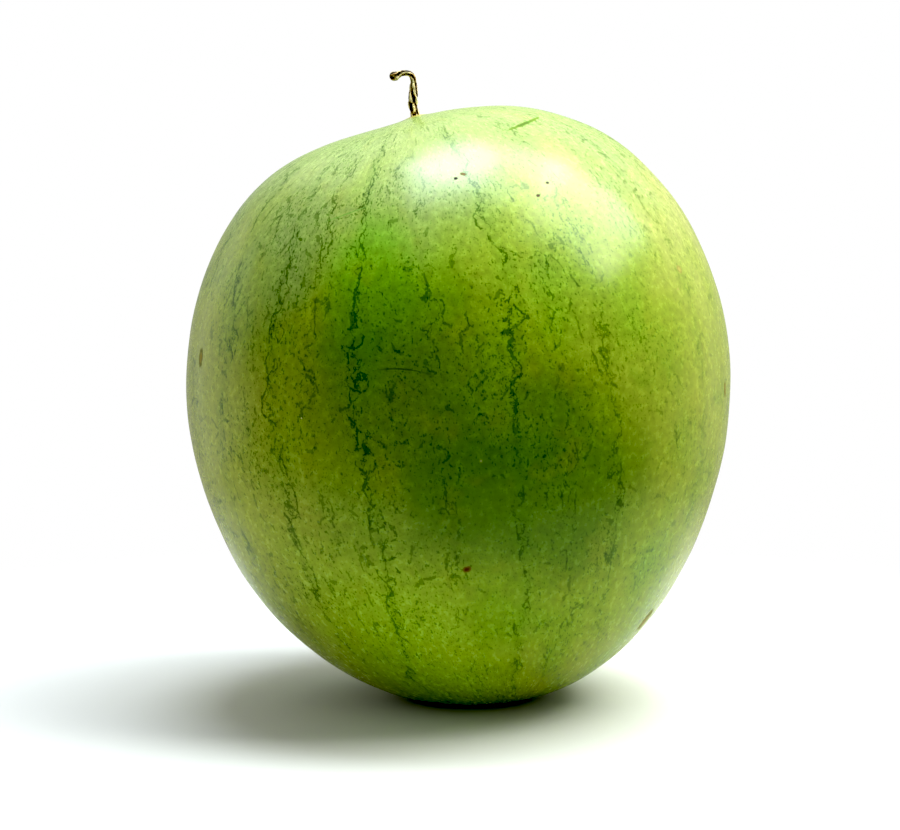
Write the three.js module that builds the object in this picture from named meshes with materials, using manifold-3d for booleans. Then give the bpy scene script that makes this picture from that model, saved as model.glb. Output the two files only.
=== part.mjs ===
// A whole watermelon with its dried stalk, sitting on a small flat spot of its own.
// Millimetres, +Z up. The origin is on the ground, below the middle of the melon.

import * as THREE from "three";
import { mergeVertices } from "three/addons/utils/BufferGeometryUtils.js";
import Module from "manifold-3d";

const degree = Math.PI / 180;

// The fruit is egg-shaped, with its poles at the stalk end and the blossom end
const fruitWidth = 240; // left to right, square to its axis
const fruitDepth = 236; // front to back
const stalkEndRise = 113.5; // from the widest part up to the stalk end
const blossomEndDrop = 144; // from the widest part down to the blossom end
const lean = 9 * degree; // the stalk end leans towards -X
const widestHeight = 138.7; // of the middle of the widest part, above the ground

// Soft swellings and flats: where the middle of each is about the fruit's own axis,
// how high it stands in millimetres, and the angle over which it fades, in degrees
const swellings = [
  { azimuth: 0, elevation: 62, height: 11.8, reach: 26 }, // the high shoulder beside the stalk
  { azimuth: 180, elevation: 60, height: 7.4, reach: 18 }, // the low shoulder
  { azimuth: 180, elevation: 80, height: -2.2, reach: 12 }, // the hollow that the stalk stands in
  { azimuth: 0, elevation: 90, height: 1, reach: 1.5 }, // the collar of skin round its foot
  { azimuth: 0, elevation: -45, height: -2.3, reach: 20 }, // the flatter side underneath
  { azimuth: 180, elevation: -45, height: 3.2, reach: 20 }, // the fuller side underneath
  { azimuth: 180, elevation: -78, height: -2.1, reach: 18 }, // where it thins to the blossom end
  { azimuth: 70, elevation: 20, height: 1.5, reach: 30 }, // a fullness at the back
  { azimuth: 125, elevation: -10, height: -1.2, reach: 28 }, // and a flatter cheek beside it
];

// The fruit's mesh, with its rings crowded at the stalk end to draw the collar
const meridians = 72;
const rings = 44;
const crowding = 0.8; // 0 spaces the rings evenly, 1 gathers them round the stalk

// The stalk's middle line, from the collar to the knob at its tip
const stalkPath = [
  [0, 0, 0],
  [-0.7, -0.1, 3],
  [-0.9, 0.1, 7.5],
  [-0.7, 0.2, 11.5],
  [-0.4, 0.3, 14.2],
  [-0.8, 0.2, 16.6],
  [-2.2, -0.1, 18.3],
  [-4.4, -0.5, 18.8],
  [-6.6, -0.9, 18.5],
  [-8.8, -1.3, 17.8],
  [-10.9, -1.6, 17.5],
];
const stalkGirth = 3.5; // across the upright part
const hookGirth = 2.2; // across the hook, which has shrivelled more
const hookStart = 10; // millimetres along where it starts to thin
const hookFull = 15.5; // and where it has thinned
const footFlare = 0.5; // how much wider it is where it leaves the skin
const footReach = 0.8; // and how far up that fades
const knobGirth = 3.7; // across the knob where the vine broke off
const knobReach = 2.1; // half the knob's length
const ribCount = 5;
const ribHeight = 0.14; // of its radius
const twist = 8 * degree; // of the ribs, in each millimetre
const stalkSides = 20;
const stalkSteps = 44;
const footGap = 0.3; // between the skin and the foot that stands on it

const sideways = new THREE.Vector3(0, 1, 0); // the line that the fruit leans about

const rindMaterial = new THREE.MeshStandardMaterial({ color: 0x9db848, roughness: 0.38, metalness: 0 });
const stalkMaterial = new THREE.MeshStandardMaterial({ color: 0x5c4a2c, roughness: 0.85, metalness: 0 });

const wasm = await Module();
wasm.setup();

// A geometry as one closed mesh, with only its places left and shared corners merged
function closed(geometry) {
  geometry.deleteAttribute("normal");
  geometry.deleteAttribute("uv");
  return mergeVertices(geometry);
}

// Moves each corner of a geometry to the place that a function gives for it
function reshape(geometry, place) {
  const { position } = geometry.attributes;
  for (let i = 0; i < position.count; i++) {
    const moved = place(new THREE.Vector3().fromBufferAttribute(position, i));
    position.setXYZ(i, moved.x, moved.y, moved.z);
  }
  return geometry;
}

// What is left of one closed geometry once another is cut away
function cut(geometry, cutter) {
  const [body, tool] = [geometry, cutter].map(({ attributes, index }) => {
    const vertProperties = new Float32Array(attributes.position.array);
    return new wasm.Manifold(new wasm.Mesh({ numProp: 3, vertProperties, triVerts: new Uint32Array(index.array) }));
  });
  const mesh = body.subtract(tool).getMesh();
  const result = new THREE.BufferGeometry();
  result.setAttribute("position", new THREE.BufferAttribute(mesh.vertProperties, 3));
  result.setIndex(new THREE.BufferAttribute(mesh.triVerts, 1));
  result.computeVertexNormals();
  return result;
}

// The unit vector at an azimuth and an elevation about the fruit's own axis
function directionOf({ azimuth, elevation }) {
  const level = Math.cos(elevation * degree);
  return new THREE.Vector3(
    level * Math.cos(azimuth * degree),
    level * Math.sin(azimuth * degree),
    Math.sin(elevation * degree),
  );
}

// The skin in a direction from the middle of the widest part, with the fruit leant over
function skinPoint(direction) {
  const height = THREE.MathUtils.mapLinear(direction.z, -1, 1, blossomEndDrop, stalkEndRise);
  const egg = new THREE.Vector3(fruitWidth / 2, fruitDepth / 2, height);
  let distance = 1 / direction.clone().divide(egg).length();
  for (const swelling of swellings) {
    const away = direction.angleTo(directionOf(swelling)) / (swelling.reach * degree);
    distance += swelling.height * Math.exp(-0.5 * away ** 2);
  }
  return direction.clone().multiplyScalar(distance).applyAxisAngle(sideways, -lean);
}

// A unit direction with its angle from the stalk's pole made smaller
function towardsStalk(direction) {
  const polar = Math.acos(THREE.MathUtils.clamp(direction.z, -1, 1));
  const azimuth = Math.atan2(direction.y, direction.x) / degree;
  const crowded = polar - (crowding / 2) * Math.sin(polar) * (1 + Math.cos(polar));
  return directionOf({ azimuth, elevation: 90 - crowded / degree });
}

// The fruit, cut level where it settles on the ground
function makeFruit() {
  const ball = closed(new THREE.SphereGeometry(1, meridians, rings).rotateX(Math.PI / 2));
  const skin = reshape(ball, (corner) => skinPoint(towardsStalk(corner.normalize())));
  const under = new THREE.BoxGeometry(fruitWidth, fruitDepth, blossomEndDrop);
  under.translate(0, 0, -widestHeight - blossomEndDrop / 2);
  const fruit = new THREE.Mesh(cut(skin, closed(under)), rindMaterial);
  fruit.name = "fruit";
  fruit.position.z = widestHeight;
  return fruit;
}

// Half the stalk's thickness at a length along it and an angle round it
function stalkRadius(along, length, angle) {
  const thinned = THREE.MathUtils.smoothstep(along, hookStart, hookFull);
  const flare = footFlare * Math.exp(-((along / footReach) ** 2));
  const fromKnob = (along - (length - knobReach)) / knobReach;
  const knob = (knobGirth - hookGirth) * Math.exp(-(fromKnob ** 2));
  const girth = THREE.MathUtils.lerp(stalkGirth, hookGirth, thinned) + flare + knob;
  const rounding = Math.sqrt(1.1 - Math.max(fromKnob, 0) ** 2);
  return (girth / 2) * rounding * (1 + ribHeight * Math.cos(ribCount * (angle + twist * along)));
}

// A corner of the stalk's foot, brought down to stand just clear of the skin
function standOnSkin(corner, foot) {
  const direction = corner.clone().add(foot).applyAxisAngle(sideways, lean).normalize();
  const skin = skinPoint(direction);
  return skin.setLength(skin.length() + footGap).sub(foot);
}

// The stalk, a ribbed rod bent along its path, with its own origin at its foot
function makeStalk(foot) {
  const path = new THREE.CatmullRomCurve3(stalkPath.map((point) => new THREE.Vector3(...point)));
  const length = path.getLength();
  const { normals, binormals } = path.computeFrenetFrames(stalkSteps);
  const rod = closed(new THREE.CylinderGeometry(1, 1, 1, stalkSides, stalkSteps));
  reshape(rod, ({ x, y, z }) => {
    const step = Math.round((0.5 - y) * stalkSteps);
    const angle = Math.atan2(z, x);
    const radius = Math.hypot(x, z) * stalkRadius((step / stalkSteps) * length, length, angle);
    const corner = path.getPointAt(step / stalkSteps)
      .addScaledVector(normals[step], radius * Math.cos(angle))
      .addScaledVector(binormals[step], radius * Math.sin(angle));
    return step === 0 ? standOnSkin(corner, foot) : corner;
  });
  rod.computeVertexNormals();
  const stalk = new THREE.Mesh(rod, stalkMaterial);
  stalk.name = "stalk";
  stalk.position.copy(foot);
  stalk.position.z += widestHeight;
  return stalk;
}

// Both pieces, moved so that the middle of the melon is over the origin
function makeMelon() {
  const pieces = new THREE.Group();
  pieces.add(makeFruit(), makeStalk(skinPoint(new THREE.Vector3(0, 0, 1))));
  const middle = new THREE.Box3().setFromObject(pieces, true).getCenter(new THREE.Vector3());
  pieces.position.set(-middle.x, -middle.y, 0);
  return new THREE.Group().add(pieces);
}

export default makeMelon();
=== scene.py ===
# A whole watermelon and its dried stalk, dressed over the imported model.
# Metres, +Z up, with the melon standing on the ground over the origin.

import functools
import math

import bmesh
import bpy
import numpy as np
from mathutils import Matrix, Vector


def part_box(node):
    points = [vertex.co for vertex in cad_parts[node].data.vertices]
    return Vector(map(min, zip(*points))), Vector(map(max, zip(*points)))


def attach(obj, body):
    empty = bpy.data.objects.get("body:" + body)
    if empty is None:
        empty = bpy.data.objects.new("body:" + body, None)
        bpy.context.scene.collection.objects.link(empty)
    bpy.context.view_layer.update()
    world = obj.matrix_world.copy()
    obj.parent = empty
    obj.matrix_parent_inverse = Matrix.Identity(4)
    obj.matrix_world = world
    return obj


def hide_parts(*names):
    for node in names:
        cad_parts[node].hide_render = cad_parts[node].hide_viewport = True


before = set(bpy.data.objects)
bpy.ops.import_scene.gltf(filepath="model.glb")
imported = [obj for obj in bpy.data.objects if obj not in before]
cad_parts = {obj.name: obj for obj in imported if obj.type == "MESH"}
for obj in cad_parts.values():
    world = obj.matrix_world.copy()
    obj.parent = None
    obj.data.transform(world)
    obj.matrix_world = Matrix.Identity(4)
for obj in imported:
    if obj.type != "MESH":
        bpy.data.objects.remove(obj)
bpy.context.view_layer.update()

degree = math.pi / 180
mm = 0.001


# A colour written as sRGB hex, as the linear colour that shaders take
def linear(hexColour):
    parts = [int(hexColour[place:place + 2], 16) / 255 for place in (1, 3, 5)]
    return (*[part / 12.92 if part < 0.04045 else ((part + 0.055) / 1.055) ** 2.4 for part in parts], 1)


# Adds a node with its settings and its inputs, each a value, a socket, or a node for its first output
def addNode(tree, kind, links=None, **settings):
    node = tree.nodes.new(kind)
    for name, value in settings.items():
        setattr(node, name, value)
    shown = [socket for socket in node.inputs if socket.enabled]
    for place, value in (links or {}).items():
        socket = shown[place] if isinstance(place, int) else next(s for s in shown if s.name == place)
        if isinstance(value, bpy.types.Node):
            value = next(output for output in value.outputs if output.enabled)
        if isinstance(value, bpy.types.NodeSocket):
            tree.links.new(value, socket)
        else:
            socket.default_value = value
    return node


# A new node tree for geometry, with a named input for each size, and its group input node
def newShapeTree(name, sizes):
    tree = bpy.data.node_groups.new(name, "GeometryNodeTree")
    tree.interface.new_socket("Geometry", in_out="INPUT", socket_type="NodeSocketGeometry")
    tree.interface.new_socket("Geometry", in_out="OUTPUT", socket_type="NodeSocketGeometry")
    for size in sizes:
        tree.interface.new_socket(size, in_out="INPUT", socket_type="NodeSocketFloat")
    tree.interface.new_socket("Material", in_out="INPUT", socket_type="NodeSocketMaterial")
    return tree, tree.nodes.new("NodeGroupInput")


# Closes a shape tree with Realize Instances and Set Material
def closeShapeTree(tree, group, shape):
    smooth = addNode(tree, "GeometryNodeSetShadeSmooth", {"Geometry": shape})
    real = addNode(tree, "GeometryNodeRealizeInstances", {"Geometry": smooth})
    dressed = addNode(tree, "GeometryNodeSetMaterial", {
        "Geometry": real, "Material": group.outputs["Material"],
    })
    addNode(tree, "NodeGroupOutput", {"Geometry": dressed})


# Runs a shape tree on an object and returns the finished plain mesh
def growMesh(seed, tree, sizes, material, name):
    modifier = seed.modifiers.new("shape", "NODES")
    modifier.node_group = tree
    for item in tree.interface.items_tree:
        if item.in_out == "INPUT" and item.name in sizes:
            modifier[item.identifier] = float(sizes[item.name])
        elif item.in_out == "INPUT" and item.name == "Material":
            modifier[item.identifier] = material
    graph = bpy.context.evaluated_depsgraph_get()
    grown = bpy.data.meshes.new_from_object(seed.evaluated_get(graph), depsgraph=graph)
    seed.modifiers.remove(modifier)
    bpy.data.objects.remove(seed)
    grown.name = name
    return grown


# Puts a finished mesh in the scene so that the middle of its box is over the middle of a CAD node's
def placeOver(mesh, node, name):
    low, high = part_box(node)
    corners = np.empty(len(mesh.vertices) * 3, dtype=np.float32)
    mesh.vertices.foreach_get("co", corners)
    corners = corners.reshape(-1, 3)
    shift = np.array((low + high) / 2) - (corners.min(axis=0) + corners.max(axis=0)) / 2
    shift[2] = 0
    mesh.vertices.foreach_set("co", (corners + shift).astype(np.float32).ravel())
    mesh.update()
    piece = bpy.data.objects.new(name, mesh)
    bpy.context.collection.objects.link(piece)
    return piece


# The fruit: its sizes, and how finely its mesh is divided
fruit = {
    "sizes": {
        "Width": 240 * mm,  # left to right, square to its axis
        "Depth": 236 * mm,  # front to back
        "Stalk End Rise": 113.5 * mm,  # from the widest part up to the stalk end
        "Blossom End Drop": 144 * mm,  # from the widest part down to the blossom end
        "Lean": 9 * degree,  # the stalk end leans towards -X
        "Widest Height": 138.7 * mm,  # of the middle of the widest part, above the ground
        "Unevenness": 0.35 * mm,  # height of its soft lumps, from how it grew
        "Settling": 0.5 * mm,  # how softly the skin turns in to the flat spot
    },
    "meridians": 320,
    "rings": 200,
    "crowding": 0.86,  # gathers the rings round the stalk, for the collar
    "meanRadius": 120 * mm,  # turns angles about the axis to lengths on the skin
    "lumpWidth": 35 * mm,
}

# Soft swellings and flats: azimuth and elevation in degrees about the fruit's own axis,
# height in millimetres, and the angle in degrees over which each fades
swellings = [
    (0, 62, 11.8, 26),  # the high shoulder beside the stalk
    (180, 60, 7.4, 18),  # the low shoulder
    (180, 80, -2.2, 12),  # the hollow that the stalk stands in
    (0, 90, 1, 1.5),  # the collar of skin round its foot
    (0, -45, -2.3, 20),  # the flatter side underneath
    (180, -45, 3.2, 20),  # the fuller side underneath
    (180, -78, -2.1, 18),  # where it thins to the blossom end
    (70, 20, 1.5, 30),  # a fullness at the back
    (125, -10, -1.2, 28),  # and a flatter cheek beside it
]

# Veins run from the stalk end to the blossom end. Each has its azimuth at these elevations,
# and how strongly it shows there
veinElevations = [-60, -40, -20, 0, 20, 40, 60]
frontVeins = [
    ([-150, -150, -150, -148, -142, -147, -150], [0.3, 0.4, 0.6, 0.65, 0.65, 0.65, 0.55]),
    ([-136, -134, -132, -130, -129, -128, -131], [0.4, 0.65, 0.75, 0.8, 0.9, 0.85, 0.7]),
    ([-123, -114, -110, -110, -109, -107, -108], [0.85, 1.1, 1.2, 1.0, 1.2, 1.4, 1.3]),
    ([-86, -81, -80, -79, -75, -76, -76], [0.85, 1.0, 0.9, 0.85, 0.95, 1.1, 0.9]),
    ([-60, -59, -58, -59, -57, -55, -50], [0.4, 0.55, 0.65, 0.55, 0.65, 0.6, 0.4]),
    ([-35, -32, -31, -31, -30, -30, -22], [0.3, 0.4, 0.5, 0.5, 0.6, 0.55, 0.45]),
]

# The other veins, spread evenly over the sides and the back: by how many degrees each may stray
# as a whole and from one elevation to the next, and how strongly they show
backVeins = {"count": 9, "seed": 7, "shift": 3.5, "wander": 1.6, "weakest": 0.55, "strongest": 1.1}


# The unit vector at an azimuth and an elevation in degrees
def directionOf(azimuth, elevation):
    level = math.cos(elevation * degree)
    x, y = level * math.cos(azimuth * degree), level * math.sin(azimuth * degree)
    return Vector((x, y, math.sin(elevation * degree)))


# The azimuths and strengths of every vein at each of the listed elevations, in order round the fruit
def allVeins():
    draw = np.random.default_rng(backVeins["seed"])
    widest = veinElevations.index(0)
    first, last = frontVeins[0][0][widest] + 360, frontVeins[-1][0][widest]
    gap = (first - last) / (backVeins["count"] + 1)
    veins = list(frontVeins)
    for number in range(1, backVeins["count"] + 1):
        middle = last + gap * number + draw.uniform(-1, 1) * backVeins["shift"]
        wander = np.cumsum(draw.normal(0, backVeins["wander"], len(veinElevations)))
        strengths = draw.uniform(backVeins["weakest"], backVeins["strongest"], len(veinElevations))
        veins.append((list(middle + wander - wander.mean()), list(strengths)))
    return veins


# For each corner of the ball: its share of the gap between two veins as a point on a circle, with the
# gap's width in millimetres; its place on the skin measured round and along; and how strongly the
# nearer vein shows
def veinPlaces(directions):
    radius = fruit["meanRadius"]
    azimuth = np.degrees(np.arctan2(directions[:, 1], directions[:, 0]))
    elevation = np.degrees(np.arcsin(np.clip(directions[:, 2], -1, 1)))
    veins = allVeins()
    lines = np.array([np.interp(elevation, veinElevations, azimuths) for azimuths, shown in veins])
    strengths = np.array([np.interp(elevation, veinElevations, shown) for azimuths, shown in veins])
    start = lines[0]
    turn = (azimuth - start) % 360
    offsets = np.vstack([lines - start, np.full(len(turn), 360.0)])
    before = np.clip((offsets <= turn).sum(axis=0) - 1, 0, len(veins) - 1)
    row = np.arange(len(turn))
    width = offsets[before + 1, row] - offsets[before, row]
    share = (turn - offsets[before, row]) / width
    blend = np.clip((share - 0.3) / 0.4, 0, 1)  # from one vein's strength to the next one's
    strength = strengths[before, row] * (1 - blend) + strengths[(before + 1) % len(veins), row] * blend
    strength *= np.clip((82 - np.abs(elevation)) / 22, 0, 1)  # the veins fade out towards both ends
    gap = width * degree * radius
    place = np.column_stack([np.cos(2 * np.pi * share), np.sin(2 * np.pi * share), gap / mm])
    along = np.column_stack([
        radius * np.cos(azimuth * degree),
        radius * np.sin(azimuth * degree),
        radius * elevation * degree,
    ])
    return place, along, strength


# A closed ball of directions, with its rings crowded to the stalk end and the vein places stored on it
def makeBall():
    ball = bmesh.new()
    bmesh.ops.create_uvsphere(ball, u_segments=fruit["meridians"], v_segments=fruit["rings"], radius=1)
    for corner in ball.verts:
        polar = math.acos(max(-1, min(1, corner.co.z)))
        crowded = polar - (fruit["crowding"] / 2) * math.sin(polar) * (1 + math.cos(polar))
        azimuth = math.atan2(corner.co.y, corner.co.x) / degree
        corner.co = directionOf(azimuth, 90 - crowded / degree)
    mesh = bpy.data.meshes.new("ball")
    ball.to_mesh(mesh)
    ball.free()
    directions = np.empty(len(mesh.vertices) * 3, dtype=np.float32)
    mesh.vertices.foreach_get("co", directions)
    place, along, strength = veinPlaces(directions.reshape(-1, 3).astype(float))
    for name, values in (("veinPlace", place), ("alongSkin", along)):
        stored = mesh.attributes.new(name, "FLOAT_VECTOR", "POINT")
        stored.data.foreach_set("vector", values.astype(np.float32).ravel())
    stored = mesh.attributes.new("veinStrength", "FLOAT", "POINT")
    stored.data.foreach_set("value", strength.astype(np.float32))
    seed = bpy.data.objects.new("ball", mesh)
    bpy.context.collection.objects.link(seed)
    return seed, int(directions[2::3].argmax())


# The tree that swells a ball of directions into the fruit's skin
def makeSkinTree():
    tree, group = newShapeTree("Melon skin", fruit["sizes"])
    add = functools.partial(addNode, tree)
    size = group.outputs
    direction = add("GeometryNodeInputPosition")
    upward = add("ShaderNodeSeparateXYZ", {0: direction}).outputs["Z"]
    height = add("ShaderNodeMapRange", {
        "Value": upward, "From Min": -1, "From Max": 1,
        "To Min": size["Blossom End Drop"], "To Max": size["Stalk End Rise"],
    })
    halfWidth = add("ShaderNodeMath", {0: size["Width"], 1: 0.5}, operation="MULTIPLY")
    halfDepth = add("ShaderNodeMath", {0: size["Depth"], 1: 0.5}, operation="MULTIPLY")
    egg = add("ShaderNodeCombineXYZ", {"X": halfWidth, "Y": halfDepth, "Z": height})
    inside = add("ShaderNodeVectorMath", {0: direction, 1: egg}, operation="DIVIDE")
    reach = add("ShaderNodeVectorMath", {0: inside}, operation="LENGTH").outputs["Value"]
    distance = add("ShaderNodeMath", {0: 1, 1: reach}, operation="DIVIDE")
    for azimuth, elevation, rise, fade in swellings:
        middle = tuple(directionOf(azimuth, elevation))
        facing = add("ShaderNodeVectorMath", {0: direction, 1: middle}, operation="DOT_PRODUCT")
        angle = add("ShaderNodeMath", {0: facing.outputs["Value"]}, operation="ARCCOSINE")
        away = add("ShaderNodeMath", {0: angle, 1: fade * degree}, operation="DIVIDE")
        square = add("ShaderNodeMath", {0: away, 1: away}, operation="MULTIPLY")
        falling = add("ShaderNodeMath", {0: square, 1: -0.5}, operation="MULTIPLY")
        swell = add("ShaderNodeMath", {0: falling}, operation="EXPONENT")
        distance = add("ShaderNodeMath", {0: swell, 1: rise * mm, 2: distance}, operation="MULTIPLY_ADD")
    # lumps on the ball of radius 1, which stands for the mean radius. Noise keeps near its middle
    # value, so it is spread twice as far as the lumps are to reach
    lumpScale = fruit["meanRadius"] / fruit["lumpWidth"]
    lumps = add("ShaderNodeTexNoise", {
        "Vector": direction, "Scale": lumpScale, "Detail": 1.5, "Roughness": 0.4,
    })
    lump = add("ShaderNodeMapRange", {"Value": lumps, "To Min": -2, "To Max": 2})
    distance = add("ShaderNodeMath", {0: lump, 1: size["Unevenness"], 2: distance}, operation="MULTIPLY_ADD")
    skin = add("ShaderNodeVectorMath", {0: direction, "Scale": distance}, operation="SCALE")
    tilt = add("ShaderNodeMath", {0: size["Lean"], 1: -1}, operation="MULTIPLY")
    leant = add("ShaderNodeVectorRotate", {"Vector": skin, "Angle": tilt}, rotation_type="Y_AXIS")
    parts = add("ShaderNodeSeparateXYZ", {0: leant})
    lifted = add("ShaderNodeMath", {0: parts.outputs["Z"], 1: size["Widest Height"]}, operation="ADD")
    settled = add("ShaderNodeMath", {0: lifted, 1: 0, 2: size["Settling"]}, operation="SMOOTH_MAX")
    place = add("ShaderNodeCombineXYZ", {"X": parts.outputs["X"], "Y": parts.outputs["Y"], "Z": settled})
    shape = add("GeometryNodeSetPosition", {"Geometry": size["Geometry"], "Position": place})
    closeShapeTree(tree, group, shape)
    return tree


rind = {
    "paleSkin": "#98a73a",  # the lightest skin between the veins
    "greenSkin": "#80a02c",  # and the greener patches in it
    "beltSkinAndShade": "#66871f",  # deeper green round the middle, partly painted shade that darkens the middle
    "deepSkinAndShade": "#4c7213",  # the greenest side; its two patches on the front are partly painted shade
    "leftSkin": "#abb545",  # the paler left side
    "yellowSkin": "#9b982e",  # small yellowish blotches
    "shoulderSkinAndSheen": "#93a466",  # palest round the stalk end, partly a painted sheen of the light from above
    "sunSkinAndWarmLight": "#9ca43e",  # yellower towards the ground spot, partly painted warm light from the right
    "freshSkin": "#6ca428",  # brightest green above the middle of the front
    "paintedBounceSkin": "#a0c244",  # painted bounce light from the floor, brighter low on the front
    "backSkin": "#74912c",  # deeper green over the back
    "hazeSkinAndSheen": "#b0ae74",  # palest and dullest high on the sunny side, partly a painted sheen of the light from the right
    "veinHalo": "#4e8018",  # faint green beside the veins, and in the darkest blotches
    "veinShade": "#8aa92c",  # what veins and flecks darken the skin by
    "fleckShade": "#94b450",
    "collar": "#c3b263",  # corky skin round the stalk's foot
    "scar": "#a8895a",  # the corky blossom end underneath
    "groundSpot": "#c6ba6c",  # where it lay on the soil
    # the skin's cells, whose edges carry the veins, in millimetres
    "cellWidth": 5.6,
    "cellSquash": 0.66,  # under 1 makes them taller than wide
    "cellSway": 2.4,
    "strayCells": 3.8,  # how far from the path a cell may fall on the wrong side, which makes loops
    # the lines on the cells' edges, in millimetres
    "thinnestHalf": 0.17,  # half the width of a line
    "thickestHalf": 0.46,
    "lineSoftness": 0.26,  # how far each side of it fades
    "fraying": 0.8,  # how far small nubs push its edge
    # how far the noise can push a vein off its path, in millimetres
    "jagReach": 10,
    "kinkReach": 6,
    "nubReach": 3.2,
    # heights along the skin from the widest part, and the width of ragged edges, in millimetres
    "beltMiddle": -8,
    "beltFull": 5,
    "beltEnds": 85,
    "shoulderStarts": 55,
    "shoulderFull": 125,
    "raggedReach": 60,
    # broad areas: their colour, the middle of each in degrees, where it starts and ends fading in
    # millimetres, and how far it covers at most
    "areas": [
        ("backSkin", 95, 12, 60, 190, 0.8),
        # partly painted warm light from the right
        ("sunSkinAndWarmLight", -12, 5, 40, 125, 0.75),
        ("leftSkin", -170, -4, 20, 165, 0.85),
        # partly a painted sheen high on the upper right
        ("hazeSkinAndSheen", -25, 36, 10, 72, 0.55),
        # painted bounce light from the floor, low on the front
        ("paintedBounceSkin", -116, -56, 10, 80, 0.85),
        ("freshSkin", -104, 31, 4, 52, 0.75),
        # two patches on the front, partly painted shade
        ("deepSkinAndShade", -97, 1, 8, 76, 0.55),
        ("deepSkinAndShade", -77, -20, 14, 62, 0.76),
        ("groundSpot", 42, -24, 6, 64, 0.75),
    ],
}


# A place on the skin, measured round and along it, from an azimuth and an elevation in degrees
def placeAlong(azimuth, elevation):
    radius, turn = fruit["meanRadius"], azimuth * degree
    return (radius * math.cos(turn), radius * math.sin(turn), radius * elevation * degree)


# Scars and specks: azimuth, elevation, width and height in millimetres, turn in degrees,
# how far the ends bow down in millimetres, how strongly it shows, and the colours of its rim and middle
marks = [
    (-93.8, -31.5, 4.0, 3.2, 10, 0, 0.9, "#6e5a24", "#522a14"),
    (-80.1, 50.1, 1.7, 1.9, 0, 0, 0.98, "#2a1e06", "#120a02"),
    (-77.4, 50.9, 2.8, 2.2, -20, 0, 0.85, "#54481c", "#846c38"),
    (-55.7, 43.6, 1.5, 1.5, 0, 0, 0.9, "#3a3008", "#2a2006"),
    (-60.4, 41.1, 2.0, 1.5, 10, 0, 0.85, "#4a3a10", "#4a3010"),
    (-156.6, 16.6, 5.5, 8.5, 4, 0, 0.65, "#5c5410", "#a89430"),
    (-122.4, 3.4, 1.0, 1.0, 0, 0, 0.85, "#b9c070", "#e6e8bc"),
    (-87.2, -9.5, 1.6, 1.8, 0, 0, 0.6, "#7f9040", "#b4b886"),
    (-30.1, 19.1, 4.2, 3.8, -20, 0, 0.42, "#8f7436", "#bcae5c"),
    (-33.5, 15.5, 1.2, 1.2, 0, 0, 0.5, "#a89060", "#b0a070"),
    (-17, -7.4, 3.6, 8, -6, 0, 0.7, "#6c5a24", "#8c7434"),
    (-27.5, -56.5, 8, 12, -28, 0, 0.75, "#80783a", "#a8985a"),
    (-39, 61.7, 26, 2.5, 3, 0, 0.95, "#607c0c", "#4a6406"),
    (-36.5, 62.3, 0.9, 6, 20, 0, 0.7, "#4f8214", "#3f7410"),
    (-99.6, 10.5, 25, 0.9, -12, 1.9, 0.65, "#4a6618", "#3f5416"),
    (-113.8, 45.3, 21, 0.7, 12, 0, 0.5, "#5a9018", "#5a9018"),
]

# Others strewn over the sides and the back: where they may be, how big in millimetres and how far
# turned in degrees, and the colours of rim and middle that they take in turn
backMarks = {
    "count": 12,
    "seed": 11,
    "azimuths": (-5, 195),
    "elevations": (-45, 60),
    "sizes": (0.8, 3.2),
    "turns": (-30, 30),
    "stretch": 1.5,  # taller than wide
    "shows": 0.85,
    "colours": [("#4a3a10", "#6a4a1c"), ("#7a6a28", "#b08a50"), ("#9aa850", "#d4d8a0")],
}


# The listed marks and the strewn ones
def allMarks():
    draw = np.random.default_rng(backMarks["seed"])
    strewn = []
    for number in range(backMarks["count"]):
        azimuth, elevation = draw.uniform(*backMarks["azimuths"]), draw.uniform(*backMarks["elevations"])
        wide, high = draw.uniform(*backMarks["sizes"], 2)
        turn = draw.uniform(*backMarks["turns"])
        rim, core = backMarks["colours"][number % len(backMarks["colours"])]
        high *= backMarks["stretch"]
        strewn.append((azimuth, elevation, wide, high, turn, 0, backMarks["shows"], rim, core))
    return marks + strewn
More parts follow.
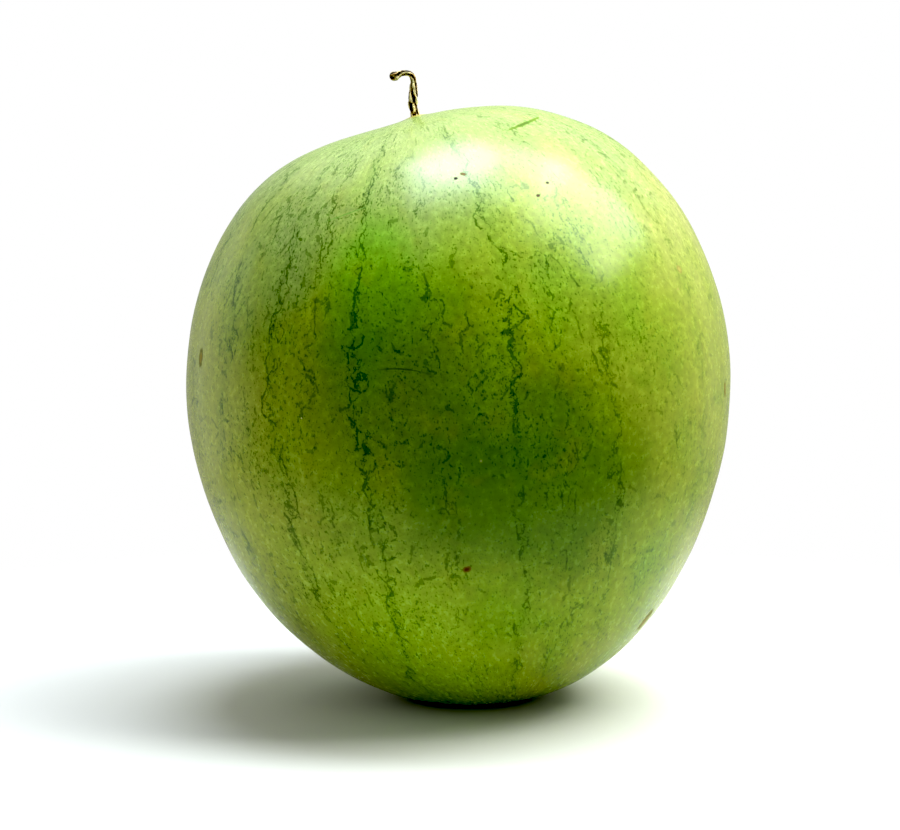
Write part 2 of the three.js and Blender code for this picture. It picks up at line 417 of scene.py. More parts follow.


# Watermelon rind: living skin with a thin natural wax, smooth to the touch. It gives a soft satin
# shine over pale green, with darker broken veins, flecks and streaks that lie in the skin itself
# Its colour also carries painted shade round the middle and on the front, a painted sheen on the top and
# upper right, painted warm light on the right and painted bounce light low on the front
def makeRindMaterial():
    material = bpy.data.materials.new("waxyWatermelonRind")
    material.use_nodes = True
    tree = material.node_tree
    tree.nodes.clear()
    add = functools.partial(addNode, tree)

    skin = add("ShaderNodeAttribute", attribute_name="alongSkin").outputs["Vector"]
    strength = add("ShaderNodeAttribute", attribute_name="veinStrength").outputs["Fac"]
    place = add("ShaderNodeAttribute", attribute_name="veinPlace").outputs["Vector"]
    # places squeezed along the fruit, so that noise on them is drawn out that way
    dashed = add("ShaderNodeMapping", {"Vector": skin, "Scale": (1, 1, 0.72)})
    streaked = add("ShaderNodeMapping", {"Vector": skin, "Scale": (1, 1, 0.14)})

    # noise patterns: what they follow, the size of a feature in millimetres, detail and roughness.
    # Pinpricks and nubs are drawn as coarse as they need to show
    patterns = {
        "patches": (skin, 60, 2, 0.5),
        "blotches": (skin, 20, 3, 0.6),
        "jags": (skin, 14, 4, 0.62),
        "betweenJags": (skin, 17, 4, 0.62),
        "kinks": (skin, 6, 3, 0.6),
        "nubs": (skin, 1.9, 3, 0.65),
        "pinpricks": (dashed, 0.85, 1, 0.5),
        "widths": (skin, 6, 2, 0.5),
        "breaks": (skin, 16, 3, 0.6),
        "flecks": (dashed, 1.25, 3, 0.6),
        "fleckAreas": (skin, 30, 2, 0.5),
        "streaks": (streaked, 2.4, 3, 0.6),
        "mottling": (skin, 3.2, 4, 0.6),
        "sway": (skin, 2.6, 2, 0.55),
    }
    noise = {}
    for name, (follows, size, detail, rough) in patterns.items():
        links = {"Vector": follows, "Scale": 1 / (size * mm), "Detail": detail, "Roughness": rough}
        noise[name] = add("ShaderNodeTexNoise", links)

    # signed distances in millimetres to the nearest vein, and to the line midway between two veins
    parts = add("ShaderNodeSeparateXYZ", {0: place})
    turn = add("ShaderNodeMath", {0: parts.outputs["Y"], 1: parts.outputs["X"]}, operation="ARCTAN2")
    share = add("ShaderNodeMath", {0: turn, 1: 2 * math.pi}, operation="DIVIDE")
    toVein = add("ShaderNodeMath", {0: share, 1: parts.outputs["Z"]}, operation="MULTIPLY")
    whichSide = add("ShaderNodeMath", {0: share}, operation="SIGN")
    middleShare = add("ShaderNodeMath", {0: whichSide, 1: -0.5, 2: share}, operation="MULTIPLY_ADD")
    toMiddle = add("ShaderNodeMath", {0: middleShare, 1: parts.outputs["Z"]}, operation="MULTIPLY")

    # the skin's cells, taller than wide, swayed a little so that their edges aren't straight
    sway = noise["sway"].outputs["Color"]
    swayed = add("ShaderNodeVectorMath", {0: sway, 1: (0.5, 0.5, 0.5)}, operation="SUBTRACT")
    warped = add("ShaderNodeVectorMath", {
        0: swayed, 1: (rind["cellSway"] * mm,) * 3, 2: skin,
    }, operation="MULTIPLY_ADD")
    cellSpace = add("ShaderNodeMapping", {"Vector": warped, "Scale": (1, 1, rind["cellSquash"])})
    cellScale = 1 / (rind["cellWidth"] * mm)
    cells = {"Vector": cellSpace, "Scale": cellScale}
    edge = add("ShaderNodeTexVoronoi", cells, feature="DISTANCE_TO_EDGE")
    edge = add("ShaderNodeMath", {0: edge, 1: rind["cellWidth"]}, operation="MULTIPLY")
    frayed = add("ShaderNodeMapRange", {
        "Value": noise["nubs"], "To Min": -rind["fraying"], "To Max": rind["fraying"],
    })
    edge = add("ShaderNodeMath", {0: edge, 1: frayed}, operation="ADD")
    nearest = add("ShaderNodeTexVoronoi", cells, feature="F1")
    second = add("ShaderNodeTexVoronoi", cells, feature="F2")

    # how far round the fruit the two nearest cells lie, in millimetres, each strayed by a draw of its own
    roundwards = add("ShaderNodeVectorMath", {0: (0, 0, 1), 1: skin}, operation="CROSS_PRODUCT")
    perMm = 1 / (fruit["meanRadius"] * mm)
    offsets, draws = [], []
    for cell in (nearest, second):
        apart = add("ShaderNodeVectorMath", {0: cell.outputs["Position"], 1: cellSpace}, operation="SUBTRACT")
        offset = add("ShaderNodeVectorMath", {0: apart, 1: roundwards}, operation="DOT_PRODUCT")
        offset = offset.outputs["Value"]
        drawn = add("ShaderNodeSeparateColor", {0: cell.outputs["Color"]}).outputs[0]
        centred = add("ShaderNodeMapRange", {
            "Value": drawn, "To Min": -rind["strayCells"], "To Max": rind["strayCells"],
        })
        offsets.append(add("ShaderNodeMath", {0: offset, 1: perMm, 2: centred}, operation="MULTIPLY_ADD"))
        draws.append(drawn)
    # the two draws together give each edge a draw from 0 to 1, once a large factor has shuffled them
    shuffle = 17.3
    both = add("ShaderNodeMath", {0: draws[0], 1: draws[1]}, operation="ADD")
    edgeDraw = add("ShaderNodeMath", {0: both, 1: shuffle}, operation="MULTIPLY")
    edgeDraw = add("ShaderNodeMath", {0: edgeDraw}, operation="FRACT")

    # how wide the lines are, in millimetres each side
    half = add("ShaderNodeMapRange", {
        "Value": noise["widths"], "From Min": 0.3, "From Max": 0.7,
        "To Min": rind["thinnestHalf"], "To Max": rind["thickestHalf"],
    })
    halfSoft = add("ShaderNodeMath", {0: half, 1: rind["lineSoftness"]}, operation="ADD")
    edgeLine = add("ShaderNodeMapRange", {
        "Value": edge, "From Min": halfSoft, "From Max": half,
    }, interpolation_type="SMOOTHSTEP")

    # a vein is a jagged chain of the edges between the cells left and right of its path, with gaps in it
    masks = []  # each line pattern, and how strongly it is drawn
    faint = add("ShaderNodeMath", {0: strength, 1: 0.5}, operation="MULTIPLY")
    for away, jags, shows in ((toVein, "jags", strength), (toMiddle, "betweenJags", faint)):
        bent = away
        for pattern, reach in ((jags, rind["jagReach"]), ("kinks", rind["kinkReach"])):
            push = add("ShaderNodeMapRange", {"Value": noise[pattern], "To Min": -reach, "To Max": reach})
            bent = add("ShaderNodeMath", {0: bent, 1: push}, operation="ADD")
        sides = [add("ShaderNodeMath", {0: bent, 1: offset}, operation="ADD") for offset in offsets]
        across = add("ShaderNodeMath", {0: sides[0], 1: sides[1]}, operation="MULTIPLY")
        between = add("ShaderNodeMath", {0: across, 1: 0}, operation="LESS_THAN")
        likely = add("ShaderNodeMapRange", {
            "Value": noise["breaks"], "From Min": 0.36, "From Max": 0.56, "To Min": 0.5, "To Max": 1.4,
        })
        likely = add("ShaderNodeMath", {0: likely, 1: shows}, operation="MULTIPLY")
        kept = add("ShaderNodeMath", {0: edgeDraw, 1: likely}, operation="LESS_THAN")
        chain = add("ShaderNodeMath", {0: between, 1: kept}, operation="MULTIPLY")
        chain = add("ShaderNodeMath", {0: chain, 1: edgeLine}, operation="MULTIPLY")
        deep = add("ShaderNodeMapRange", {"Value": likely, "From Min": 0.2, "From Max": 0.9, "To Min": 0.5})
        masks.append(add("ShaderNodeMath", {0: chain, 1: deep}, operation="MULTIPLY"))

        # and an unbroken strand along the strongest stretches
        nub = add("ShaderNodeMapRange", {
            "Value": noise["nubs"], "To Min": -rind["nubReach"], "To Max": rind["nubReach"],
        })
        near = add("ShaderNodeMath", {0: bent, 1: nub}, operation="ADD")
        near = add("ShaderNodeMath", {0: near}, operation="ABSOLUTE")
        strand = add("ShaderNodeMapRange", {
            "Value": near, "From Min": halfSoft, "From Max": half,
        }, interpolation_type="SMOOTHSTEP")
        strong = add("ShaderNodeMapRange", {"Value": likely, "From Min": 0.5, "From Max": 0.8})
        masks.append(add("ShaderNodeMath", {0: strand, 1: strong}, operation="MULTIPLY"))

    # a few edges show anywhere, more of them in some places
    strayLikely = add("ShaderNodeMapRange", {
        "Value": noise["fleckAreas"], "From Min": 0.4, "From Max": 0.62, "To Min": 0.02, "To Max": 0.15,
    })
    stray = add("ShaderNodeMath", {0: edgeDraw, 1: strayLikely}, operation="LESS_THAN")
    stray = add("ShaderNodeMath", {0: stray, 1: 0.7}, operation="MULTIPLY")
    masks.append(add("ShaderNodeMath", {0: stray, 1: edgeLine}, operation="MULTIPLY"))
    veinMask = masks[0]
    for mask in masks[1:]:
        veinMask = add("ShaderNodeMath", {0: veinMask, 1: mask}, operation="MAXIMUM")

    # short flecks along the fruit, thicker in some places
    fleckNeed = add("ShaderNodeMapRange", {
        "Value": noise["fleckAreas"], "From Min": 0.35, "From Max": 0.65, "To Min": 0.63, "To Max": 0.555,
    })
    fleckEdge = add("ShaderNodeMath", {0: fleckNeed, 1: 0.05}, operation="ADD")
    flecks = add("ShaderNodeMapRange", {
        "Value": noise["flecks"], "From Min": fleckNeed, "From Max": fleckEdge,
    }, interpolation_type="SMOOTHSTEP")
    pinpricks = add("ShaderNodeMapRange", {
        "Value": noise["pinpricks"], "From Min": 0.65, "From Max": 0.71, "To Max": 0.7,
    }, interpolation_type="SMOOTHSTEP")
    flecks = add("ShaderNodeMath", {0: flecks, 1: pinpricks}, operation="MAXIMUM")

    # the deeper belt round the middle, with a ragged edge, partly painted shade that darkens the middle
    heightAlong = add("ShaderNodeSeparateXYZ", {0: skin}).outputs["Z"]
    beltHeight = add("ShaderNodeMath", {0: heightAlong, 1: -rind["beltMiddle"] * mm}, operation="ADD")
    beltAway = add("ShaderNodeMath", {0: beltHeight}, operation="ABSOLUTE")
    raggedReach = rind["raggedReach"] * mm
    ragged = add("ShaderNodeMapRange", {
        "Value": noise["patches"], "To Min": -raggedReach, "To Max": raggedReach,
    })
    beltAway = add("ShaderNodeMath", {0: beltAway, 1: ragged}, operation="ADD")
    beltAndShade = add("ShaderNodeMapRange", {
        "Value": beltAway,
        "From Min": rind["beltEnds"] * mm, "From Max": rind["beltFull"] * mm, "To Max": 0.45,
    }, interpolation_type="SMOOTHSTEP")

    # a faint halo beside each vein, and patches and blotches that are greener, yellower or darker
    besideVein = add("ShaderNodeMath", {0: toVein}, operation="ABSOLUTE")
    halo = add("ShaderNodeMapRange", {
        "Value": besideVein, "From Min": 6, "From Max": 0.5, "To Max": 0.14,
    }, interpolation_type="SMOOTHSTEP")
    halo = add("ShaderNodeMath", {0: halo, 1: strength}, operation="MULTIPLY")
    greener = add("ShaderNodeMapRange", {"Value": noise["patches"], "From Min": 0.35, "From Max": 0.65})
    yellower = add("ShaderNodeMapRange", {
        "Value": noise["blotches"], "From Min": 0.54, "From Max": 0.72, "To Max": 0.18,
    })
    darker = add("ShaderNodeMapRange", {
        "Value": noise["blotches"], "From Min": 0.44, "From Max": 0.3, "To Max": 0.5,
    })
    darkBlotches = add("ShaderNodeMath", {0: darker, 1: beltAndShade}, operation="MULTIPLY")

    # broad sides of the fruit that grew greener or yellower, each fading out with a ragged edge; some of them
    # are partly painted shade, sheen, warm light or bounce light
    areas = []
    for name, azimuth, elevation, inner, outer, most in rind["areas"]:
        middle = placeAlong(azimuth, elevation)
        away = add("ShaderNodeVectorMath", {0: skin, 1: middle}, operation="DISTANCE").outputs["Value"]
        raggedAway = add("ShaderNodeMath", {0: away, 1: ragged}, operation="ADD")
        amount = add("ShaderNodeMapRange", {
            "Value": raggedAway, "From Min": outer * mm, "From Max": inner * mm, "To Max": most,
        }, interpolation_type="SMOOTHSTEP")
        areas.append((amount, name))
    groundSpot = areas.pop()

    # the shoulders round the stalk end are paler, partly a painted sheen of the light from above
    shoulderAndSheen = add("ShaderNodeMath", {0: heightAlong, 1: ragged}, operation="ADD")
    shoulderAndSheen = add("ShaderNodeMapRange", {
        "Value": shoulderAndSheen,
        "From Min": rind["shoulderStarts"] * mm, "From Max": rind["shoulderFull"] * mm, "To Max": 0.8,
    }, interpolation_type="SMOOTHSTEP")

    # the colours, laid over one another
    colour = add("ShaderNodeMix", {
        "Factor": greener, "A": linear(rind["paleSkin"]), "B": linear(rind["greenSkin"]),
    }, data_type="RGBA")
    layers = [
        (beltAndShade, "beltSkinAndShade"), *areas, (shoulderAndSheen, "shoulderSkinAndSheen"), (yellower, "yellowSkin"),
        (darkBlotches, "veinHalo"), (halo, "veinHalo"), groundSpot,
    ]
    for amount, name in layers:
        colour = add("ShaderNodeMix", {
            "Factor": amount, "A": colour, "B": linear(rind[name]),
        }, data_type="RGBA")

    # fine mottling and streaks lighten and darken the skin
    for name, swing in (("mottling", 0.5), ("streaks", 0.06)):
        shade = add("ShaderNodeMapRange", {"Value": noise[name], "To Min": 1 - swing, "To Max": 1 + swing})
        colour = add("ShaderNodeMix", {
            "Factor": 1, "A": colour, "B": shade,
        }, data_type="RGBA", blend_type="MULTIPLY")

    # veins and flecks are faint where the skin lay on the ground, and fainter on the sunny side, which also
    # carries painted warm light
    grown = add("ShaderNodeMapRange", {"Value": groundSpot[0], "To Min": 0.92, "To Max": 0.1})
    sunnyAndWarmLit = next(amount for amount, name in areas if name == "sunSkinAndWarmLight")
    faded = add("ShaderNodeMapRange", {"Value": sunnyAndWarmLit, "To Min": 1, "To Max": 0.35})
    grown = add("ShaderNodeMath", {0: grown, 1: faded}, operation="MULTIPLY")
    for amount, name in ((flecks, "fleckShade"), (veinMask, "veinShade")):
        amount = add("ShaderNodeMath", {0: amount, 1: grown}, operation="MULTIPLY")
        colour = add("ShaderNodeMix", {
            "Factor": amount, "A": colour, "B": linear(rind[name]),
        }, data_type="RGBA", blend_type="MULTIPLY")

    # corky skin at both ends: how far from the pole it reaches, in millimetres, and its colour
    quarterTurn = fruit["meanRadius"] * math.pi / 2
    for sign, reach, fade, name in ((-1, 1.5, 7, "collar"), (1, 5, 9, "scar")):
        fromPole = add("ShaderNodeMath", {0: heightAlong, 1: sign, 2: quarterTurn}, operation="MULTIPLY_ADD")
        roughEdge = add("ShaderNodeMath", {
            0: noise["mottling"], 1: 4 * mm, 2: fromPole,
        }, operation="MULTIPLY_ADD")
        corky = add("ShaderNodeMapRange", {
            "Value": roughEdge, "From Min": (fade + 2) * mm, "From Max": (reach + 2) * mm, "To Max": 0.85,
        }, interpolation_type="SMOOTHSTEP")
        colour = add("ShaderNodeMix", {
            "Factor": corky, "A": colour, "B": linear(rind[name]),
        }, data_type="RGBA")

    # scars and specks, which have lost their wax and so are dull
    scarred, depth = 0, 20 * mm  # deep enough for a mark to lie right through the skin
    for azimuth, elevation, wide, high, turn, bend, most, rim, core in allMarks():
        wider = 1 / math.cos(elevation * degree)  # lengths round the fruit shrink towards its ends
        local = add("ShaderNodeMapping", {
            "Vector": skin, "Location": placeAlong(azimuth, elevation),
            "Rotation": (0, -turn * degree, (azimuth + 90) * degree),
            "Scale": (wide / 2 * mm * wider, depth, high / 2 * mm),
        }, vector_type="TEXTURE")
        if bend:
            axes = add("ShaderNodeSeparateXYZ", {0: local})
            bow = add("ShaderNodeMath", {0: axes.outputs["X"], 1: axes.outputs["X"]}, operation="MULTIPLY")
            bowed = add("ShaderNodeMath", {
                0: bow, 1: bend * 2 / high, 2: axes.outputs["Z"],
            }, operation="MULTIPLY_ADD")
            local = add("ShaderNodeCombineXYZ", {"X": axes.outputs["X"], "Y": axes.outputs["Y"], "Z": bowed})
        fromMiddle = add("ShaderNodeVectorMath", {0: local}, operation="LENGTH").outputs["Value"]
        uneven = add("ShaderNodeMath", {
            0: noise["mottling"], 1: 1.2, 2: fromMiddle,
        }, operation="MULTIPLY_ADD")
        for name, outer, inner in ((rim, 1.65, 1.4), (core, 1.2, 1.0)):
            mask = add("ShaderNodeMapRange", {
                "Value": uneven, "From Min": outer, "From Max": inner, "To Max": most,
            }, interpolation_type="SMOOTHSTEP")
            scarred = add("ShaderNodeMath", {0: mask, 1: scarred}, operation="MAXIMUM")
            colour = add("ShaderNodeMix", {"Factor": mask, "A": colour, "B": linear(name)}, data_type="RGBA")

    bump = add("ShaderNodeBump", {"Strength": 0.25, "Distance": 0.12 * mm, "Height": noise["mottling"]})
    roughness = add("ShaderNodeMapRange", {"Value": noise["mottling"], "To Min": 0.25, "To Max": 0.29})
    roughness = add("ShaderNodeMix", {"Factor": scarred, "A": roughness, "B": 0.75}, data_type="FLOAT")
    shader = add("ShaderNodeBsdfPrincipled", {
        "Base Color": colour, "Roughness": roughness, "Normal": bump,
        "IOR": 1.385, "Specular Tint": linear("#f6fff8"),
    })
    add("ShaderNodeOutputMaterial", {"Surface": shader})
    return material


rindMaterial = makeRindMaterial()
ballSeed, poleNumber = makeBall()
fruitMesh = growMesh(ballSeed, makeSkinTree(), fruit["sizes"], rindMaterial, "melonSkin")
melonSkin = placeOver(fruitMesh, "fruit", "melonSkin")
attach(melonSkin, "root")
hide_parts("fruit")
print("fruit made:", len(fruitMesh.polygons), "faces")


# The stalk: its steps and sides, and its relief as shares of its radius
stalk = {
    "sizes": {
        "Steps": 130,  # along the path
        "Sides": 44,
        "Girth Scale": 1.0,
        "Rib Count": 5,
        "Rib Height": 0.15,
        "Twist": 8 * degree,  # of the ribs, in each millimetre
        "Lobe Height": 0.1,  # how much higher the ribs stand on one side
        "Lobe Turn": 2.6,  # where that side starts, in radians, which also places the painted highlight on the crests
        "Lobe Twist": 4 * degree,  # and how it winds round, in each millimetre
        "Strand Count": 3,
        "Strand Height": 0.11,  # of the strands that cross the ribs low down
        "Strand Twist": -0.26,  # in radians in each millimetre
        "Wrinkle Height": 0.2,
        "Toe Spread": 0.12,  # how far the ribs spread where they grip the skin
    },
    "sunk": 1.0,  # millimetres of it below the skin
}

# The stalk's middle line from below the skin to the broken tip, and how thick it is at each point,
# in millimetres
stalkPath = [
    (-0.1, 0, -1, 3.5), (-0.2, 0, 0, 3.3), (-0.45, -0.05, 1.5, 3.2), (-0.7, -0.1, 3, 3.5),
    (-0.9, 0.1, 7.5, 3.7), (-0.7, 0.2, 11.5, 3.2), (-0.5, 0.3, 14.2, 2.5), (-0.9, 0.2, 16.4, 2.3),
    (-2.2, -0.1, 18.0, 2.2), (-4.4, -0.5, 18.5, 2.2), (-6.6, -0.9, 18.1, 2.4), (-7.8, -1.1, 17.6, 3.0),
    (-8.8, -1.3, 17.1, 3.75), (-9.9, -1.45, 16.9, 3.5), (-10.7, -1.57, 16.8, 2.5),
    (-11.05, -1.62, 16.75, 1.2),
]


# The path as a line of points, each with its girth, standing on the skin
def makeStalkLine(foot):
    mesh = bpy.data.meshes.new("stalkLine")
    points = [foot + Vector(point[:3]) * mm for point in stalkPath]
    mesh.from_pydata(points, [(number, number + 1) for number in range(len(points) - 1)], [])
    girth = mesh.attributes.new("girth", "FLOAT", "POINT")
    girth.data.foreach_set("value", [point[3] * mm for point in stalkPath])
    seed = bpy.data.objects.new("stalkLine", mesh)
    bpy.context.collection.objects.link(seed)
    return seed


# The tree that thickens the line into a ribbed, twisted and wrinkled stalk
def makeStalkTree():
    tree, group = newShapeTree("Dried stalk", stalk["sizes"])
    add = functools.partial(addNode, tree)
    size = group.outputs
    line = add("GeometryNodeMeshToCurve", {0: size["Geometry"]})
    line = add("GeometryNodeCurveSplineType", {"Curve": line}, spline_type="CATMULL_ROM")
    line = add("GeometryNodeResampleCurve", {"Curve": line, "Count": size["Steps"]})
    travelled = add("GeometryNodeSplineParameter")
    along = add("ShaderNodeMath", {0: travelled.outputs["Length"], 1: mm}, operation="DIVIDE")
    along = add("ShaderNodeMath", {0: along, 1: stalk["sunk"]}, operation="SUBTRACT")
    line = add("GeometryNodeStoreNamedAttribute", {"Geometry": line, "Name": "along", "Value": along})
    middle = add("GeometryNodeInputPosition")
    line = add("GeometryNodeStoreNamedAttribute", {
        "Geometry": line, "Name": "middleLine", "Value": middle,
    }, data_type="FLOAT_VECTOR")

    ring = add("GeometryNodeCurvePrimitiveCircle", {"Resolution": size["Sides"], "Radius": 0.5})
    turned = add("ShaderNodeMath", {
        0: add("GeometryNodeSplineParameter").outputs["Factor"], 1: 2 * math.pi,
    }, operation="MULTIPLY")
    ring = add("GeometryNodeStoreNamedAttribute", {"Geometry": ring, "Name": "around", "Value": turned})
    girth = add("GeometryNodeInputNamedAttribute", {"Name": "girth"})
    thick = add("ShaderNodeMath", {0: girth, 1: size["Girth Scale"]}, operation="MULTIPLY")
    rod = add("GeometryNodeCurveToMesh", {
        "Curve": line, "Profile Curve": ring, "Scale": thick, "Fill Caps": True,
    })

    # the relief, as a share of the radius: twisted ribs that stand higher on one side, strands that
    # cross them low down, toes that grip the skin, and wrinkles
    along = add("GeometryNodeInputNamedAttribute", {"Name": "along"})
    around = add("GeometryNodeInputNamedAttribute", {"Name": "around"})
    ribTurn = add("ShaderNodeMath", {0: along, 1: size["Twist"], 2: around}, operation="MULTIPLY_ADD")
    ribAngle = add("ShaderNodeMath", {0: ribTurn, 1: size["Rib Count"]}, operation="MULTIPLY")
    rib = add("ShaderNodeMath", {0: ribAngle}, operation="COSINE")
    lobeTurn = add("ShaderNodeMath", {0: along, 1: size["Lobe Twist"], 2: around}, operation="MULTIPLY_ADD")
    lobeTurn = add("ShaderNodeMath", {0: lobeTurn, 1: size["Lobe Turn"]}, operation="ADD")
    lobe = add("ShaderNodeMath", {0: lobeTurn}, operation="COSINE")
    crossTurn = add("ShaderNodeMath", {
        0: along, 1: size["Strand Twist"], 2: around,
    }, operation="MULTIPLY_ADD")
    crossAngle = add("ShaderNodeMath", {0: crossTurn, 1: size["Strand Count"]}, operation="MULTIPLY")
    strand = add("ShaderNodeMath", {0: crossAngle}, operation="SINE")
    low = add("ShaderNodeMapRange", {
        "Value": along, "From Min": 12, "From Max": 5,
    }, interpolation_type="SMOOTHSTEP")
    strand = add("ShaderNodeMath", {0: strand, 1: low}, operation="MULTIPLY")
    toes = add("ShaderNodeMapRange", {
        "Value": along, "From Min": 1.8, "From Max": 0,
    }, interpolation_type="SMOOTHSTEP")
    toes = add("ShaderNodeMath", {0: toes, 1: rib}, operation="MULTIPLY")
    cosine = add("ShaderNodeMath", {0: around}, operation="COSINE")
    sine = add("ShaderNodeMath", {0: around}, operation="SINE")
    place = add("ShaderNodeCombineXYZ", {"X": cosine, "Y": sine, "Z": along})
    wrinkled = add("ShaderNodeVectorMath", {0: place, 1: (1.7, 1.7, 0.42)}, operation="MULTIPLY")
    wrinkle = add("ShaderNodeTexNoise", {"Vector": wrinkled, "Scale": 1.6, "Detail": 3, "Roughness": 0.55})
    wrinkle = add("ShaderNodeMapRange", {"Value": wrinkle, "To Min": -2, "To Max": 2})
    relief = add("ShaderNodeMath", {0: rib, 1: size["Rib Height"]}, operation="MULTIPLY")
    reliefs = (
        (lobe, "Lobe Height"), (strand, "Strand Height"), (toes, "Toe Spread"), (wrinkle, "Wrinkle Height"),
    )
    for part, height in reliefs:
        relief = add("ShaderNodeMath", {0: part, 1: size[height], 2: relief}, operation="MULTIPLY_ADD")
    stretch = add("ShaderNodeMath", {0: relief, 1: 1}, operation="ADD")
    middleLine = add("GeometryNodeInputNamedAttribute", {"Name": "middleLine"}, data_type="FLOAT_VECTOR")
    plain = add("GeometryNodeInputPosition")
    outward = add("ShaderNodeVectorMath", {0: plain, 1: middleLine}, operation="SUBTRACT")
    surface = add("ShaderNodeVectorMath", {0: outward, "Scale": stretch}, operation="SCALE")
    surface = add("ShaderNodeVectorMath", {0: surface, 1: middleLine}, operation="ADD")
    rod = add("GeometryNodeStoreNamedAttribute", {"Geometry": rod, "Name": "ridge", "Value": relief})
    rod = add("GeometryNodeStoreNamedAttribute", {
        "Geometry": rod, "Name": "stalkPlace", "Value": place,
    }, data_type="FLOAT_VECTOR")
    rod = add("GeometryNodeSetPosition", {"Geometry": rod, "Position": surface})
    for spare in ("middleLine", "around", "girth"):
        rod = add("GeometryNodeRemoveAttribute", {"Geometry": rod, "Name": spare})
    closeShapeTree(tree, group, rod)
    return tree


# From the bottom of its grooves, painted nearly black as shade, to the top of its ribs, painted cream as a
# highlight, and the green that is left in places
stalkColours = {
    # painted shade at the bottom of the grooves
    "grooveShade": "#060302",
    "bark": "#3a260f",
    "ridge": "#a8803c",
    # painted highlight on the highest crests
    "crestHighlight": "#f6e8b8",
    "olive": "#4c5218",
}


# Dried vine: a woody, fibrous stem that shrivelled as it dried. It gives dull, straw-coloured ribs with a
# painted cream highlight on their crests, grooves between them painted nearly black as shade, and fine fibres
# that run along it
def makeStalkMaterial():
    material = bpy.data.materials.new("driedVineFibres")
    material.use_nodes = True
    tree = material.node_tree
    tree.nodes.clear()
    add = functools.partial(addNode, tree)
    ridge = add("ShaderNodeAttribute", attribute_name="ridge").outputs["Fac"]
    place = add("ShaderNodeAttribute", attribute_name="stalkPlace").outputs["Vector"]
    along = add("ShaderNodeAttribute", attribute_name="along").outputs["Fac"]
    lengthwise = add("ShaderNodeMapping", {"Vector": place, "Scale": (1.8, 1.8, 0.4)})  # drawn out along it
    # stains 1.4 mm across, and fibres 0.22 mm across, which is coarser than real ones so that they show
    stains, fibres = (add("ShaderNodeTexNoise", {
        "Vector": lengthwise, "Scale": 1 / width, "Detail": 3, "Roughness": 0.6,
    }) for width in (1.4, 0.22))
    swing = add("ShaderNodeMapRange", {"Value": stains, "To Min": -0.5, "To Max": 0.5})
    height = add("ShaderNodeMath", {0: ridge, 1: swing}, operation="ADD")
    colour = linear(stalkColours["grooveShade"])
    # each colour, and the heights of relief over which it takes the place of the one before: painted shade in
    # the grooves, painted highlight on the crests
    for name, low, high in (("bark", -0.06, 0.0), ("ridge", 0.03, 0.09), ("crestHighlight", 0.1, 0.2)):
        amount = add("ShaderNodeMapRange", {
            "Value": height, "From Min": low, "From Max": high,
        }, interpolation_type="SMOOTHSTEP")
        colour = add("ShaderNodeMix", {
            "Factor": amount, "A": colour, "B": linear(stalkColours[name]),
        }, data_type="RGBA")
    oliveAmount = add("ShaderNodeMapRange", {
        "Value": stains, "From Min": 0.5, "From Max": 0.62, "To Max": 0.5,
    })
    colour = add("ShaderNodeMix", {
        "Factor": oliveAmount, "A": colour, "B": linear(stalkColours["olive"]),
    }, data_type="RGBA")
    shade = add("ShaderNodeMapRange", {"Value": fibres, "To Min": 0.4, "To Max": 1.6})
    colour = add("ShaderNodeMix", {
        "Factor": 1, "A": colour, "B": shade,
    }, data_type="RGBA", blend_type="MULTIPLY")
    bump = add("ShaderNodeBump", {"Strength": 0.6, "Distance": 0.1 * mm, "Height": fibres})
    roughness = add("ShaderNodeMapRange", {"Value": stains, "To Min": 0.6, "To Max": 0.95})
    shader = add("ShaderNodeBsdfPrincipled", {
        "Base Color": colour, "Roughness": roughness, "Normal": bump, "IOR": 1.5,
    })
    add("ShaderNodeOutputMaterial", {"Surface": shader})
    return material


stalkLine = makeStalkLine(fruitMesh.vertices[poleNumber].co.copy())
stalkMesh = growMesh(stalkLine, makeStalkTree(), stalk["sizes"], makeStalkMaterial(), "driedStalk")
driedStalk = bpy.data.objects.new("driedStalk", stalkMesh)
bpy.context.collection.objects.link(driedStalk)
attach(driedStalk, "root")
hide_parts("stalk")
print("stalk made:", len(stalkMesh.polygons), "faces")


# The stage: a pale floor that fades out into a pale room, which is darker in front
stage = {
    "floorRadius": 0.44,
    "floorWhole": 0.14,  # where the floor starts to fade out
    "floorPaint": "#d8d8d5",
    "frontLight": 0.43,  # of the room that lights the melon
    "backLight": 0.6,
    "melonMiddle": Vector((0, 0, 0.13)),
    "blackLevel": 0.038,
    "gamma": 0.9,
}

camera = {
    "lens": 100,  # in millimetres, as the sensor's width is
    "sensor": 36,
    "distance": 1.112,
    "elevation": 6 * degree,
    "target": Vector((-3.62, 0, 126.5)) * mm,
}

# Soft boxes: the direction of each from the middle of the melon, how far away it is, its size from side
# to side and from front to back, its power in watts and its colour
softBoxes = {
    "overhead": ((-0.1, 0.14, 0.98), 1.0, (0.34, 0.4), 7.6, "#ecf6ff"),
    "bridge": ((0.25, 0.08, 0.96), 1.0, (0.34, 0.48), 5.8, "#e8f6ff"),  # between the other two above
    "window": ((0.6, -0.03, 0.8), 1.1, (0.68, 0.7), 18, "#fafff8"),
    "ceiling": ((0.08, 0.6, 0.8), 1.7, (2.4, 1.1), 7, "#ffffff"),
    "left": ((-0.9, 0.45, 0.1), 1.5, (1.2, 1.2), 3.0, "#ffffff"),
    "right": ((0.9, 0.45, 0.1), 1.5, (1.2, 1.0), 1.6, "#fffaf0"),
}


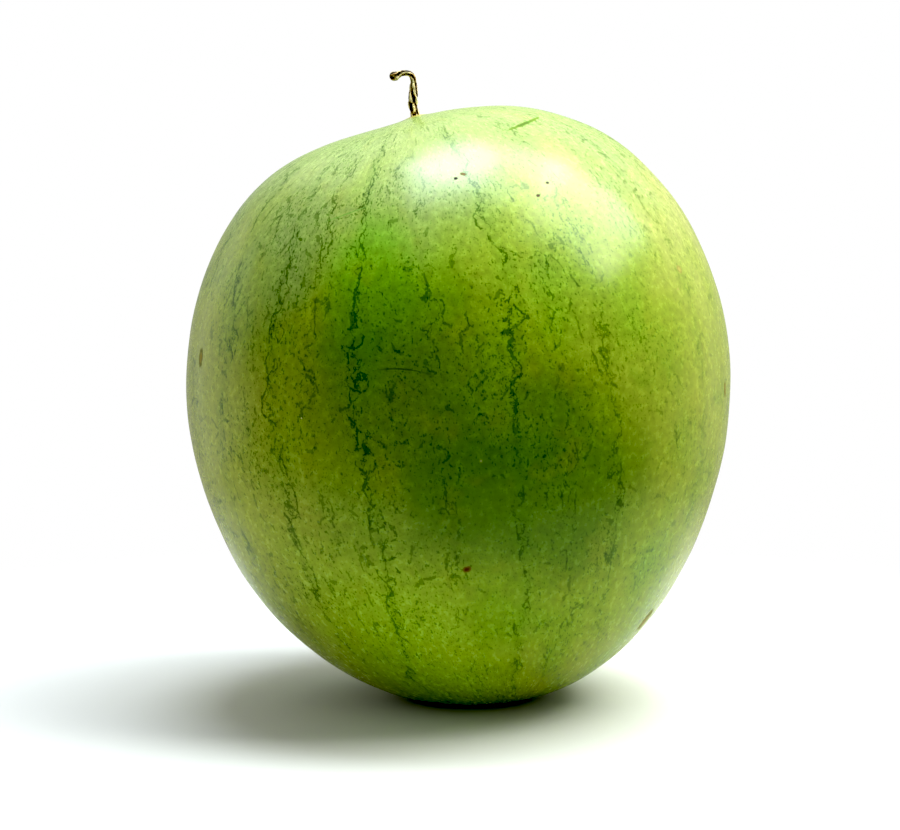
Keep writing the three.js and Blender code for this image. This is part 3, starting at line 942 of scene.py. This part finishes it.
# The floor, a disc whose edge fades out so that it ends nowhere, in a picture or in a reflection
def makeFloor():
    floorMesh = bpy.data.meshes.new("floor")
    disc = bmesh.new()
    bmesh.ops.create_circle(disc, cap_ends=True, segments=128, radius=stage["floorRadius"])
    disc.to_mesh(floorMesh)
    disc.free()
    floor = bpy.data.objects.new("floor", floorMesh)
    bpy.context.collection.objects.link(floor)
    paint = bpy.data.materials.new("mattPalePaint")
    paint.use_nodes = True
    shader = paint.node_tree.nodes["Principled BSDF"]
    shader.inputs["Base Color"].default_value = linear(stage["floorPaint"])
    shader.inputs["Roughness"].default_value = 0.9
    place = addNode(paint.node_tree, "ShaderNodeTexCoord").outputs["Object"]
    away = addNode(paint.node_tree, "ShaderNodeVectorMath", {0: place}, operation="LENGTH").outputs["Value"]
    cover = addNode(paint.node_tree, "ShaderNodeMapRange", {
        "Value": away, "From Min": stage["floorRadius"], "From Max": stage["floorWhole"],
    }, interpolation_type="SMOOTHSTEP")
    paint.node_tree.links.new(cover.outputs["Result"], shader.inputs["Alpha"])
    floorMesh.materials.append(paint)


# The soft boxes, each facing the middle of the melon
def hangSoftBoxes():
    for name, (towards, away, size, power, colour) in softBoxes.items():
        data = bpy.data.lights.new(name, "AREA")
        data.shape = "RECTANGLE"
        data.size, data.size_y = size
        data.energy = power
        data.color = linear(colour)[:3]
        lamp = bpy.data.objects.new(name, data)
        bpy.context.collection.objects.link(lamp)
        back = Vector(towards).normalized()
        side = Vector((0, 1, 0)).cross(back).normalized()
        turned = Matrix((side, back.cross(side), back)).transposed().to_4x4()
        lamp.matrix_world = Matrix.Translation(stage["melonMiddle"] + back * away) @ turned


# The room, which is white where the camera looks straight at it
def makeRoom():
    world = bpy.data.worlds.new("room")
    bpy.context.scene.world = world
    world.use_nodes = True
    tree = world.node_tree
    tree.nodes.clear()
    direction = addNode(tree, "ShaderNodeTexCoord").outputs["Generated"]
    forward = addNode(tree, "ShaderNodeSeparateXYZ", {0: direction}).outputs["Y"]
    light = addNode(tree, "ShaderNodeMapRange", {
        "Value": forward, "From Min": -0.7, "From Max": 0.6,
        "To Min": stage["frontLight"], "To Max": stage["backLight"],
    }, interpolation_type="SMOOTHSTEP")
    seen = addNode(tree, "ShaderNodeLightPath").outputs["Is Camera Ray"]
    level = addNode(tree, "ShaderNodeMix", {"Factor": seen, "A": light, "B": 1.0}, data_type="FLOAT")
    back = addNode(tree, "ShaderNodeBackground", {"Color": linear("#ffffff"), "Strength": level})
    addNode(tree, "ShaderNodeOutputWorld", {"Surface": back})


# The camera, a little above the middle of the melon and aimed at it
def makeCamera():
    data = bpy.data.cameras.new("camera")
    data.lens = camera["lens"]
    data.sensor_width = camera["sensor"]
    eye = bpy.data.objects.new("camera", data)
    bpy.context.collection.objects.link(eye)
    tilt = camera["elevation"]
    eye.location = camera["target"] + Vector((0, -math.cos(tilt), math.sin(tilt))) * camera["distance"]
    eye.rotation_euler = (camera["target"] - eye.location).to_track_quat("-Z", "Y").to_euler()
    bpy.context.scene.camera = eye


makeFloor()
hangSoftBoxes()
makeRoom()
makeCamera()
look = bpy.context.scene.view_settings
look.view_transform = "Standard"
look.use_curve_mapping = True
look.curve_mapping.black_level = (stage["blackLevel"],) * 3
look.gamma = stage["gamma"]
print("stage made")
